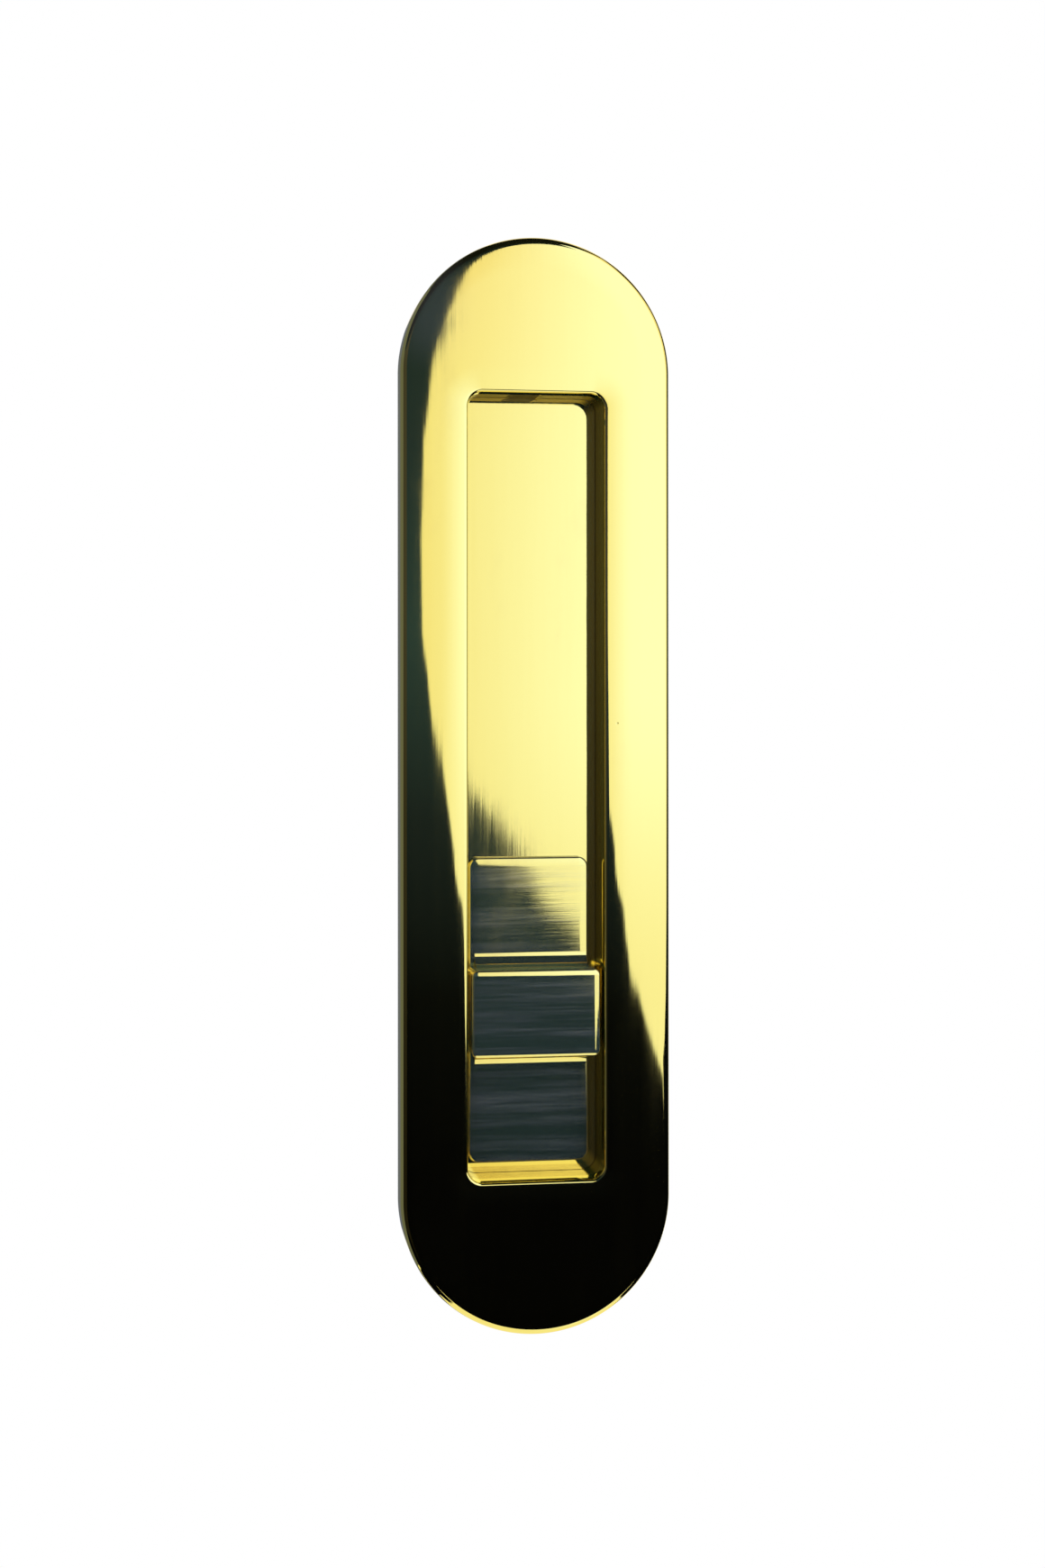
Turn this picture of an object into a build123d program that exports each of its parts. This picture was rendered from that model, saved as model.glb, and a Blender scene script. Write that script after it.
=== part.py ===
from build123d import *
import os

# Pocket door pull. Millimetres, +Z up along the plate, the face looks towards -Y,
# and the middle of the plate's back face is the origin.

# Face plate
plate_length = 203.2
plate_width = 50.8
plate_thickness = 4.0
plate_edge_radius = 1.2
edge_crown_width = 6.0
edge_crown_drop = 0.15

# Finger recess, measured at its rim
recess_length = 145.8
recess_width = 25.8
recess_corner_radius = 2.75
recess_centre_z = -0.2
recess_depth = 6.35
rim_radius = 0.5
rim_crown_width = 5.0
rim_crown_drop = 0.12
crown_overlap = 0.01

# Cup: a bent strip for the wall and a flat floor soldered inside it
wall_thickness = 2.0
wall_seat_depth = 1.2
floor_thickness = 2.5
solder_gap = 0.05
seam_x = 1.0
seam_width = 0.2
seam_lean = 5

# Thumb slide: a low pad with a tall cross bar, and a stem through the floor
pad_length = 57.1
pad_height = 1.0
pad_side_gap = 1.8
pad_end_gap = 2.2
pad_corner_radius = 1.9
pad_edge_radius = 0.35
pad_crown_width = 1.8
pad_crown_drop = 0.07
bar_length = 16.1
bar_side_gap = 0.8
bar_sink = 0.4
bar_centre_offset = 0.15
bar_corner_radius = 1.2
bar_edge_radius = 0.35
bar_crown_width = 1.3
bar_crown_drop = 0.18
upper_foot_radius = 2.6
lower_foot_radius = 2.45
stem_length = 20.0
stem_width = 7.0

# Movement and running clearances
slide_travel = 12.0
slide_gap = 0.35
guide_gap = 0.1
stem_gap = 0.3

# Carrier behind the floor, with countersunk screws into the stem
carrier_length = 34.0
carrier_width = 15.0
carrier_thickness = 2.5
carrier_corner_radius = 2.0
carrier_screw_radius = 1.5
carrier_screw_head_radius = 2.8
carrier_screw_inset = 2.5
carrier_screw_cap = 1.2
carrier_screw_end_gap = 1.0
screw_clearance = 0.05
screw_slot_width = 0.7
screw_slot_depth = 0.7

# Guide rails and the cover over them
rail_width = 5.0
guide_end_margin = 3.0
cover_thickness = 1.5
cover_corner_radius = 2.0
cover_screw_radius = 1.25
cover_screw_head_radius = 2.3
cover_screw_head_height = 1.5
cover_screw_head_bevel = 0.3
cover_screw_end_margin = 5.0
cover_screw_grip = 4.5

# Leaf spring that rubs on the cover
spring_length = 34.0
spring_width = 6.0
spring_thickness = 0.4
spring_flat = 9.0
spring_tip = 1.6
spring_space = 3.15
spring_touch = 0.05

# Drive pin with a collar over the spring
pin_radius = 2.5
pin_length = 12.0
pin_neck_radius = 3.0
pin_neck_gap = 0.5
pin_shank_radius = 1.6
pin_shank_length = 2.4
pin_collar_radius = 4.0
pin_collar_height = 1.0
pin_end_chamfer = 0.5

# Fixing posts on the plate's back
post_radius = 4.0
post_length = 12.0
post_seat_depth = 1.5
post_tap_radius = 1.65
post_tap_depth = 9.5
post_end_chamfer = 0.5

# Depths that follow from the sizes above, counted from the plate's back
face_y = -plate_thickness
floor_front_y = face_y + recess_depth
floor_back_y = floor_front_y + floor_thickness
pad_back_y = floor_front_y - slide_gap
pad_front_y = pad_back_y - pad_height
bar_front_y = face_y + bar_sink
carrier_front_y = floor_back_y + slide_gap
carrier_back_y = carrier_front_y + carrier_thickness
rail_back_y = carrier_back_y + spring_space
cover_back_y = rail_back_y + cover_thickness
collar_back_y = carrier_back_y + spring_thickness + pin_collar_height

# Places and widths that follow
pad_width = recess_width - 2 * pad_side_gap
bar_width = recess_width - 2 * bar_side_gap
slide_centre_z = recess_centre_z - recess_length / 2 + pad_end_gap + pad_length / 2
carrier_screw_spacing = stem_length - 2 * carrier_screw_inset
carrier_screw_grip = carrier_front_y - pad_front_y - carrier_screw_cap
post_spacing = plate_length / 2 + recess_length / 2 + wall_thickness
guide_centre_z = slide_centre_z + slide_travel / 2
guide_length = spring_length + slide_travel + 2 * guide_end_margin
rail_centre_x = carrier_width / 2 + guide_gap + rail_width / 2
cover_width = 2 * (carrier_width / 2 + guide_gap + rail_width)
recess_centre = (0, recess_centre_z)
slide_centre = (0, slide_centre_z)
guide_centre = (0, guide_centre_z)


def facing(y):
    """Sketch plane at depth y that looks out of the face, with X right and Z up."""
    return Plane(origin=(0, y, 0), x_dir=(1, 0, 0), z_dir=(0, -1, 0))


def backward(y):
    """Sketch plane at depth y whose normal points out of the back, with Z up."""
    return Plane(origin=(0, y, 0), x_dir=(-1, 0, 0), z_dir=(0, 1, 0))


def crown_cutter(outline, edge, front_y, width, drop, inward=-1):
    """Ring that planes a strip of a flat front into a shallow arc, lowest along its outline.

    edge is a point (x, z) of the outline on its right side.
    """
    start = (edge[0] + inward * width, front_y - crown_overlap)
    end = (edge[0], front_y + drop)
    with BuildPart() as cutter:
        with BuildSketch(Plane.XY.offset(edge[1])):
            with BuildLine():
                curve = TangentArc(start, end, tangent=(-inward, 0))
                Polyline(
                    curve @ 1,
                    (edge[0] - inward, front_y + drop),
                    (edge[0] - inward, front_y - 1),
                    (edge[0] + inward * width, front_y - 1),
                    curve @ 0,
                )
            make_face()
        sweep(path=outline)
    return cutter.part


def edges_at(part, y):
    """The edges of a part that lie level at depth y."""
    level = part.edges().filter_by(lambda e: e.bounding_box().size.Y < 0.001)
    return level.filter_by_position(Axis.Y, y - 0.01, y + 0.01)


# The face plate is a long round-ended blank with the recess cut through it. Its face is polished
# down a little towards both edges. Its back has a shallow seat for the cup's wall and two blind
# holes for the fixing posts.
with BuildPart() as face_plate:
    with BuildSketch(backward(face_y)):
        SlotOverall(plate_length, plate_width, rotation=90)
        with Locations(recess_centre):
            RectangleRounded(recess_width, recess_length, recess_corner_radius, mode=Mode.SUBTRACT)
    extrude(amount=plate_thickness)
    blank_front = face_plate.faces().sort_by(Axis.Y)[0]
    edge_ring = crown_cutter(
        blank_front.outer_wire(), (plate_width / 2, 0), face_y, edge_crown_width, edge_crown_drop
    )
    rim_ring = crown_cutter(
        blank_front.inner_wires()[0],
        (recess_width / 2, recess_centre_z),
        face_y,
        rim_crown_width,
        rim_crown_drop,
        inward=1,
    )
    add(edge_ring, mode=Mode.SUBTRACT)
    add(rim_ring, mode=Mode.SUBTRACT)
    fillet(edges_at(face_plate, face_y + edge_crown_drop), plate_edge_radius)
    fillet(edges_at(face_plate, face_y + rim_crown_drop), rim_radius)
    with BuildSketch(backward(-wall_seat_depth)):
        with Locations(recess_centre):
            RectangleRounded(
                recess_width + 2 * (wall_thickness + solder_gap),
                recess_length + 2 * (wall_thickness + solder_gap),
                recess_corner_radius + wall_thickness + solder_gap,
            )
    extrude(amount=wall_seat_depth, mode=Mode.SUBTRACT)
    with BuildSketch(backward(-post_seat_depth - solder_gap)):
        with GridLocations(0, post_spacing, 1, 2):
            Circle(post_radius + solder_gap)
    extrude(amount=post_seat_depth + solder_gap, mode=Mode.SUBTRACT)

# The wall of the cup is one strip bent round, and its ends meet in the top wall.
with BuildPart() as cup_wall:
    with BuildSketch(backward(-wall_seat_depth)):
        with Locations(recess_centre):
            RectangleRounded(
                recess_width + 2 * wall_thickness,
                recess_length + 2 * wall_thickness,
                recess_corner_radius + wall_thickness,
            )
            RectangleRounded(recess_width, recess_length, recess_corner_radius, mode=Mode.SUBTRACT)
    extrude(amount=wall_seat_depth + floor_back_y)
    seam_place = Location(
        (seam_x, floor_back_y / 2, recess_centre_z + recess_length / 2 + wall_thickness / 2),
        (0, 0, seam_lean),
    )
    with Locations(seam_place):
        Box(seam_width, 2 * recess_depth, 2 * wall_thickness, mode=Mode.SUBTRACT)

# The floor drops inside the strip, flush with its back, and is slotted for the stem.
with BuildPart() as cup_floor:
    with BuildSketch(backward(floor_front_y)):
        with Locations(recess_centre):
            RectangleRounded(
                recess_width - 2 * solder_gap,
                recess_length - 2 * solder_gap,
                recess_corner_radius - solder_gap,
            )
        with Locations(guide_centre):
            SlotOverall(
                stem_length + slide_travel + 2 * stem_gap,
                stem_width + 2 * stem_gap,
                rotation=90,
                mode=Mode.SUBTRACT,
            )
    extrude(amount=floor_thickness)

# The thumb slide is a low pad with a tall bar across it, both softened towards their edges.
# Hollow feet lead from the pad up to the bar.
bar_top_z = slide_centre_z + bar_centre_offset + bar_length / 2
bar_bottom_z = slide_centre_z + bar_centre_offset - bar_length / 2
bar_root_y = pad_front_y - 1.2 * lower_foot_radius
with BuildPart() as thumb_slide:
    with BuildSketch(facing(pad_back_y)):
        with Locations(slide_centre):
            RectangleRounded(pad_width, pad_length, pad_corner_radius)
    extrude(amount=pad_height)
    pad_front = thumb_slide.faces().sort_by(Axis.Y)[0]
    pad_edge = (pad_width / 2, slide_centre_z)
    pad_ring = crown_cutter(
        pad_front.outer_wire(), pad_edge, pad_front_y, pad_crown_width, pad_crown_drop
    )
    add(pad_ring, mode=Mode.SUBTRACT)
    fillet(edges_at(thumb_slide, pad_front_y + pad_crown_drop), pad_edge_radius)
    foot_width = pad_width - 2 * (pad_edge_radius + pad_crown_drop)
    with BuildSketch(Plane.YZ.offset(-foot_width / 2)) as foot_profile:
        with BuildLine():
            Polyline(
                (pad_back_y, bar_bottom_z - 2 * lower_foot_radius),
                (pad_front_y, bar_bottom_z - 2 * lower_foot_radius),
                (pad_front_y, bar_bottom_z),
                (bar_root_y, bar_bottom_z),
                (bar_root_y, bar_top_z),
                (pad_front_y, bar_top_z),
                (pad_front_y, bar_top_z + 2 * upper_foot_radius),
                (pad_back_y, bar_top_z + 2 * upper_foot_radius),
                close=True,
            )
        make_face()
        lower_root = foot_profile.vertices().sort_by_distance((pad_front_y, bar_bottom_z))[0]
        fillet(lower_root, lower_foot_radius)
        upper_root = foot_profile.vertices().sort_by_distance((pad_front_y, bar_top_z))[0]
        fillet(upper_root, upper_foot_radius)
    extrude(amount=foot_width)
    with BuildPart(mode=Mode.PRIVATE) as bar:
        with BuildSketch(facing(pad_back_y)):
            with Locations((0, slide_centre_z + bar_centre_offset)):
                RectangleRounded(bar_width, bar_length, bar_corner_radius)
        extrude(amount=pad_back_y - bar_front_y)
        bar_front = bar.faces().sort_by(Axis.Y)[0]
        bar_edge = (bar_width / 2, slide_centre_z + bar_centre_offset)
        bar_ring = crown_cutter(
            bar_front.outer_wire(), bar_edge, bar_front_y, bar_crown_width, bar_crown_drop
        )
        add(bar_ring, mode=Mode.SUBTRACT)
        fillet(edges_at(bar, bar_front_y + bar_crown_drop), bar_edge_radius)
    add(bar)
    with BuildSketch(backward(pad_back_y)):
        with Locations(slide_centre):
            SlotOverall(stem_length, stem_width, rotation=90)
    extrude(amount=carrier_front_y - pad_back_y)
    with BuildSketch(backward(carrier_front_y - carrier_screw_grip)):
        with Locations(slide_centre):
            with GridLocations(0, carrier_screw_spacing, 1, 2):
                Circle(carrier_screw_radius + screw_clearance)
    extrude(amount=carrier_screw_grip, mode=Mode.SUBTRACT)

# The carrier lies on the stem's end, behind the floor, and runs between the rails.
with BuildPart() as slide_carrier:
    with BuildSketch(backward(carrier_front_y)):
        with Locations(slide_centre):
            RectangleRounded(carrier_width, carrier_length, carrier_corner_radius)
            Circle(pin_shank_radius + screw_clearance, mode=Mode.SUBTRACT)
            with GridLocations(0, carrier_screw_spacing, 1, 2):
                Circle(carrier_screw_radius + screw_clearance, mode=Mode.SUBTRACT)
    extrude(amount=carrier_thickness)
    back_circles = slide_carrier.faces().sort_by(Axis.Y)[-1].edges().filter_by(GeomType.CIRCLE)
    hole_radius = carrier_screw_radius + screw_clearance
    screw_mouths = back_circles.filter_by(lambda e: abs(e.radius - hole_radius) < 0.01)
    chamfer(screw_mouths, carrier_screw_head_radius - carrier_screw_radius)


def carrier_screw(z):
    """Countersunk screw, flush with the carrier's back, with a straight driver slot."""
    head_height = carrier_screw_head_radius - carrier_screw_radius
    shank_end_y = carrier_screw_end_gap - carrier_thickness - carrier_screw_grip
    with BuildPart() as screw:
        with BuildSketch(Plane.XY):
            with BuildLine():
                Polyline(
                    (0, shank_end_y),
                    (carrier_screw_radius, shank_end_y),
                    (carrier_screw_radius, -head_height + screw_clearance),
                    (carrier_screw_head_radius - screw_clearance, 0),
                    (0, 0),
                    close=True,
                )
            make_face()
        revolve(axis=Axis.Y)
        with Locations((0, -screw_slot_depth / 2, 0)):
            Box(2 * carrier_screw_head_radius, screw_slot_depth, screw_slot_width, mode=Mode.SUBTRACT)
    return screw.part.moved(Location((0, carrier_back_y, z)))


# The guide rails are soldered to the floor's back and tapped for the cover's screws.
cover_screw_z = guide_length / 2 - cover_screw_end_margin


def guide_rail(side):
    """Square bar on one side of the carrier, with two tapped holes from the back."""
    with BuildPart() as rail:
        with BuildSketch(facing(rail_back_y)):
            with Locations((side * rail_centre_x, guide_centre_z)):
                Rectangle(rail_width, guide_length)
        extrude(amount=rail_back_y - floor_back_y)
        with BuildSketch(facing(rail_back_y)):
            with Locations((side * rail_centre_x, guide_centre_z)):
                with GridLocations(0, 2 * cover_screw_z, 1, 2):
                    Circle(cover_screw_radius + screw_clearance)
        extrude(amount=cover_screw_grip + 0.5, mode=Mode.SUBTRACT)
    return rail.part


# The cover closes the guide and has a slot for the drive pin.
with BuildPart() as guide_cover:
    with BuildSketch(backward(rail_back_y)):
        with Locations(guide_centre):
            RectangleRounded(cover_width, guide_length, cover_corner_radius)
            SlotOverall(
                2 * pin_neck_radius + slide_travel + 2 * stem_gap,
                2 * (pin_neck_radius + stem_gap),
                rotation=90,
                mode=Mode.SUBTRACT,
            )
            with GridLocations(2 * rail_centre_x, 2 * cover_screw_z, 2, 2):
                Circle(cover_screw_radius + 2 * screw_clearance, mode=Mode.SUBTRACT)
    extrude(amount=cover_thickness)


def cover_screw(x, z):
    """Cheese head screw with its head on the cover's back."""
    with BuildPart() as screw:
        with BuildSketch(Plane.XY):
            with BuildLine():
                Polyline(
                    (0, cover_screw_head_height),
                    (cover_screw_head_radius - cover_screw_head_bevel, cover_screw_head_height),
                    (cover_screw_head_radius, cover_screw_head_height - cover_screw_head_bevel),
                    (cover_screw_head_radius, 0),
                    (cover_screw_radius, 0),
                    (cover_screw_radius, -cover_thickness - cover_screw_grip),
                    (0, -cover_thickness - cover_screw_grip),
                    close=True,
                )
            make_face()
        revolve(axis=Axis.Y)
        with Locations((0, cover_screw_head_height - screw_slot_depth / 2, 0)):
            Box(2 * cover_screw_head_radius, screw_slot_depth, screw_slot_width, mode=Mode.SUBTRACT)
    return screw.part.moved(Location((x, cover_back_y, z)))


# The leaf spring is flat under the pin's collar and bows out to the cover at both ends.
spring_mid_y = carrier_back_y + spring_thickness / 2
spring_crest_y = rail_back_y - spring_touch - spring_thickness / 2
spring_run = spring_length / 2 - spring_flat / 2 - spring_tip
with BuildPart() as leaf_spring:
    with BuildLine(Plane.YZ) as spring_path:
        half_turn = (spring_mid_y + spring_crest_y) / 2
        middle = Line((spring_mid_y, 0), (spring_mid_y, spring_flat / 2))
        rise = TangentArc(
            middle @ 1,
            (half_turn, spring_flat / 2 + spring_run / 2),
            tangent=middle % 1,
        )
        crest = TangentArc(
            rise @ 1,
            (spring_crest_y, spring_flat / 2 + spring_run),
            tangent=rise % 1,
        )
        tip = TangentArc(
            crest @ 1,
            (spring_crest_y - spring_tip / 4, spring_flat / 2 + spring_run + spring_tip),
            tangent=crest % 1,
        )
    with BuildSketch(Plane(origin=(0, spring_mid_y, 0), z_dir=(0, 0, 1))):
        Rectangle(spring_width, spring_thickness)
    sweep(path=spring_path.wire())
    mirror(about=Plane.XY)
    with BuildSketch(backward(carrier_back_y - 1)):
        Circle(pin_shank_radius + screw_clearance)
    extrude(amount=3, mode=Mode.SUBTRACT)

# The drive pin's shank is pressed through the spring into the carrier.
with BuildPart() as drive_pin:
    with BuildSketch(Plane.XY):
        with BuildLine():
            shank_end_y = collar_back_y - pin_collar_height - pin_shank_length
            shoulder_y = cover_back_y + pin_neck_gap
            Polyline(
                (0, shank_end_y),
                (pin_shank_radius, shank_end_y),
                (pin_shank_radius, collar_back_y - pin_collar_height),
                (pin_collar_radius, collar_back_y - pin_collar_height),
                (pin_collar_radius, collar_back_y),
                (pin_neck_radius, collar_back_y),
                (pin_neck_radius, shoulder_y),
                (pin_radius, shoulder_y),
                (pin_radius, shoulder_y + pin_length - pin_end_chamfer),
                (pin_radius - pin_end_chamfer, shoulder_y + pin_length),
                (0, shoulder_y + pin_length),
                close=True,
            )
        make_face()
    revolve(axis=Axis.Y)


def fixing_post(z):
    """Round post, seated in the plate's back, with a tapped hole from its free end."""
    with BuildPart() as post:
        with BuildSketch(Plane.XY):
            with BuildLine():
                Polyline(
                    (0, -post_seat_depth),
                    (post_radius, -post_seat_depth),
                    (post_radius, post_length - post_end_chamfer),
                    (post_radius - post_end_chamfer, post_length),
                    (post_tap_radius, post_length),
                    (post_tap_radius, post_length - post_tap_depth),
                    (0, post_length - post_tap_depth - post_tap_radius / 2),
                    close=True,
                )
            make_face()
        revolve(axis=Axis.Y)
    return post.part.moved(Location((0, 0, z)))


nodes = {
    "face_plate": face_plate.part,
    "cup_wall": cup_wall.part,
    "cup_floor": cup_floor.part,
    "thumb_slide": thumb_slide.part,
    "slide_carrier": slide_carrier.part,
    "carrier_screw_upper": carrier_screw(slide_centre_z + carrier_screw_spacing / 2),
    "carrier_screw_lower": carrier_screw(slide_centre_z - carrier_screw_spacing / 2),
    "drive_pin": drive_pin.part.moved(Location((0, 0, slide_centre_z))),
    "leaf_spring": leaf_spring.part.moved(Location((0, 0, slide_centre_z))),
    "guide_rail_left": guide_rail(-1),
    "guide_rail_right": guide_rail(1),
    "guide_cover": guide_cover.part,
    "cover_screw_1": cover_screw(-rail_centre_x, guide_centre_z + cover_screw_z),
    "cover_screw_2": cover_screw(rail_centre_x, guide_centre_z + cover_screw_z),
    "cover_screw_3": cover_screw(-rail_centre_x, guide_centre_z - cover_screw_z),
    "cover_screw_4": cover_screw(rail_centre_x, guide_centre_z - cover_screw_z),
    "fixing_post_top": fixing_post(post_spacing / 2),
    "fixing_post_bottom": fixing_post(-post_spacing / 2),
}

os.makedirs("parts", exist_ok=True)
for name, shape in nodes.items():
    export_step(shape, f"parts/{name}.step")
    print(name, len(shape.solids()), round(shape.volume, 1), shape.is_valid)
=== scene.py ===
import math

import bmesh
import bpy
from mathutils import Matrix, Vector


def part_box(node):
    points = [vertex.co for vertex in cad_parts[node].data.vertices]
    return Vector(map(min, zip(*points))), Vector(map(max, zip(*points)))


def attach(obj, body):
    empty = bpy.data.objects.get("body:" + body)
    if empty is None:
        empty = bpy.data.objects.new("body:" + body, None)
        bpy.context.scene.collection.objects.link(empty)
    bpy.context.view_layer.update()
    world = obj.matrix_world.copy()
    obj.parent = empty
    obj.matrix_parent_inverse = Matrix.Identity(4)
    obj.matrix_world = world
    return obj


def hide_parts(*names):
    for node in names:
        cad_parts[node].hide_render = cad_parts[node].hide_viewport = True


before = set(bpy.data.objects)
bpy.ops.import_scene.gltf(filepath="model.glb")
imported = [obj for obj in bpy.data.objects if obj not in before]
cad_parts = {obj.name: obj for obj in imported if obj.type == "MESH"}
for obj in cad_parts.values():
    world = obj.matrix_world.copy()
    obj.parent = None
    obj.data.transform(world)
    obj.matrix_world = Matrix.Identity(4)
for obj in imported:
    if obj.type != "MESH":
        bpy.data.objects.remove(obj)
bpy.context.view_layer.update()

mm = 0.001
turn = math.radians


# Face plate. A long round-ended brass plate, cast and ground flat, with the finger recess cut
# through it. Buffing has rounded its edges and drawn its face down towards them, and has left
# fine lines along its length.
class Number:
    """A number in a node tree. Sums and products of it become nodes of that tree."""

    def __init__(self, tree, socket):
        self.tree, self.socket = tree, socket

    def math(self, operation, *others):
        inputs = dict(enumerate((self, *others)))
        made = add(self.tree, "ShaderNodeMath", inputs, operation=operation)
        return Number(self.tree, made.outputs[0])

    def __add__(self, other):
        return self.math("ADD", other)

    def __sub__(self, other):
        return self.math("SUBTRACT", other)

    def __mul__(self, other):
        return self.math("MULTIPLY", other)

    def __truediv__(self, other):
        return self.math("DIVIDE", other)

    def __neg__(self):
        return self.math("MULTIPLY", -1)

    __radd__, __rmul__ = __add__, __mul__


def plug(tree, socket, value):
    """Links a node or number to a socket, or sets the socket's own value."""
    if isinstance(value, Number):
        value = value.socket
    if isinstance(value, bpy.types.Node):
        value = value.outputs[0]
    if isinstance(value, bpy.types.NodeSocket):
        tree.links.new(value, socket)
    else:
        socket.default_value = value


def add(tree, kind, inputs=None, **settings):
    """Adds a node with its settings and inputs, and returns it."""
    made = tree.nodes.new(kind)
    for key, value in settings.items():
        setattr(made, key, value)
    for key, value in (inputs or {}).items():
        several = isinstance(value, (list, tuple)) and isinstance(value[0], bpy.types.Node)
        for one in value if several else [value]:
            plug(tree, made.inputs[key], one)
    return made


def vector(tree, x=0.0, y=0.0, z=0.0):
    return add(tree, "ShaderNodeCombineXYZ", {"X": x, "Y": y, "Z": z})


def shifted(tree, shape, x=0.0, y=0.0, z=0.0):
    """The same shape in another place."""
    inputs = {"Geometry": shape, "Translation": vector(tree, x, y, z)}
    return add(tree, "GeometryNodeTransform", inputs)


def together(tree, shapes):
    return add(tree, "GeometryNodeJoinGeometry", {0: list(shapes)})


weld_distance = 2e-6


def welded(tree, shape):
    """The same shape with the points that touch made one."""
    return add(tree, "GeometryNodeMergeByDistance", {"Geometry": shape, "Distance": weld_distance})


def new_group(name, kind, inputs, outputs):
    """Makes a node group. inputs and outputs map a socket's name to its kind or to its value."""
    tree = bpy.data.node_groups.new(name, kind)
    for names, way in ((inputs, "INPUT"), (outputs, "OUTPUT")):
        for key, value in names.items():
            if isinstance(value, str):
                tree.interface.new_socket(key, in_out=way, socket_type="NodeSocket" + value)
                continue
            made = tree.interface.new_socket(key, in_out=way, socket_type="NodeSocketFloat")
            made.default_value = value
    source = tree.nodes.new("NodeGroupInput")
    sink = tree.nodes.new("NodeGroupOutput")
    given = {key: source.outputs[key] for key in inputs}
    for key, value in inputs.items():
        if value == "Float" or not isinstance(value, str):
            given[key] = Number(tree, source.outputs[key])
    return tree, given, sink


def piece_group(name, sizes, output):
    """Group that makes a piece from its sizes, and is given its finish."""
    inputs = {**sizes, "Finish": "Material"}
    return new_group(name, "GeometryNodeTree", inputs, {output: "Geometry"})


def use(tree, group, inputs):
    """Places a node group in a tree of the same kind."""
    kind = "GeometryNodeGroup" if tree.bl_idname == "GeometryNodeTree" else "ShaderNodeGroup"
    return add(tree, kind, inputs, node_tree=group)


def outline_group():
    """Closed outline of a round-cornered rectangle, flat in X and Y.

    A circle is turned by half a step and pulled apart at its quarters, which leaves the straights.
    """
    inputs = {
        "Width": 20 * mm,
        "Length": 40 * mm,
        "Corner": 2 * mm,
        "Centre": 0.0,
        "Height": 0.0,
        "Points": "Int",
    }
    outputs = {"Outline": "Geometry"}
    tree, given, sink = new_group("rounded outline", "GeometryNodeTree", inputs, outputs)
    round_line = {"Resolution": given["Points"], "Radius": given["Corner"]}
    circle = add(tree, "GeometryNodeCurvePrimitiveCircle", round_line)
    half_step = add(tree, "ShaderNodeMath", {0: math.pi, 1: given["Points"]}, operation="DIVIDE")
    turn_by = {"Geometry": circle, "Rotation": vector(tree, z=half_step)}
    turned_line = add(tree, "GeometryNodeTransform", turn_by)
    place = add(tree, "ShaderNodeSeparateXYZ", {0: add(tree, "GeometryNodeInputPosition")})
    side = Number(tree, place.outputs["X"]).math("SIGN")
    end = Number(tree, place.outputs["Y"]).math("SIGN")
    across = side * (given["Width"] * 0.5 - given["Corner"])
    along = end * (given["Length"] * 0.5 - given["Corner"]) + given["Centre"]
    pull = {"Geometry": turned_line, "Offset": vector(tree, across, along, given["Height"])}
    pulled = add(tree, "GeometryNodeSetPosition", pull)
    facing = add(tree, "GeometryNodeSetCurveNormal", {"Curve": pulled}, mode="Z_UP")
    plug(tree, sink.inputs[0], facing)
    return tree


def crown_group():
    """Edge profile: X runs outwards from the outline, Y down into the metal.

    A shallow crown leaves the flat, rolls over a round edge and ends in a straight side.
    """
    inputs = {
        "Crown Width": 5 * mm,
        "Crown Drop": 0.1 * mm,
        "Edge Radius": 1 * mm,
        "Depth": 4 * mm,
        "Side": 1.0,
    }
    outputs = {"Profile": "Geometry"}
    tree, given, sink = new_group("crowned edge", "GeometryNodeTree", inputs, outputs)
    width, drop, radius = given["Crown Width"], given["Crown Drop"], given["Edge Radius"]
    sweep = (width * width + drop * drop) / (drop * 2.0)
    lean = ((width - radius) / (sweep - radius)).math("ARCSINE")
    level = -math.pi / 2
    crown_arc = {"Resolution": crown_rows, "Radius": sweep, "Start Angle": level, "Sweep Angle": lean}
    crown = shifted(tree, add(tree, "GeometryNodeCurveArc", crown_arc), -width, sweep)
    edge_centre = sweep - lean.math("COSINE") * (sweep - radius)
    edge_arc = {
        "Resolution": edge_rows,
        "Radius": radius,
        "Start Angle": lean + level,
        "Sweep Angle": -lean - level,
    }
    edge = shifted(tree, add(tree, "GeometryNodeCurveArc", edge_arc), -radius, edge_centre)
    side = line(tree, (0.0, edge_centre), (0.0, given["Depth"]))
    mirror = {
        "Geometry": together(tree, [crown, edge, side]),
        "Scale": vector(tree, given["Side"], 1.0, 1.0),
    }
    plug(tree, sink.inputs[0], add(tree, "GeometryNodeTransform", mirror))
    return tree


def line(tree, start, end):
    """Straight piece of a profile from one (x, y) to another."""
    ends = {"Start": vector(tree, *start), "End": vector(tree, *end)}
    return add(tree, "GeometryNodeCurvePrimitiveLine", ends)


def swept(tree, outline, profile):
    return add(tree, "GeometryNodeCurveToMesh", {"Curve": outline, "Profile Curve": profile})


def filled(tree, height, *outlines):
    """Flat face between closed outlines, at a height."""
    face = add(tree, "GeometryNodeFillCurve", {"Curve": together(tree, outlines)}, mode="NGONS")
    return shifted(tree, face, z=height)


def deliver(tree, sink, mesh, finish_socket):
    """Welds a mesh, stands it up with its front towards -Y, and gives it its material."""
    upright = {"Geometry": welded(tree, mesh), "Rotation": (math.pi / 2, 0.0, 0.0)}
    stood = add(tree, "GeometryNodeTransform", upright)
    real = add(tree, "GeometryNodeRealizeInstances", {"Geometry": stood})
    finished = add(tree, "GeometryNodeSetMaterial", {"Geometry": real, "Material": finish_socket})
    plug(tree, sink.inputs[0], finished)


# A face as level as this is shaded flat. Faces that meet below this angle are shaded as one curve.
flat_from = 0.999999
smooth_below = turn(30)


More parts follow.
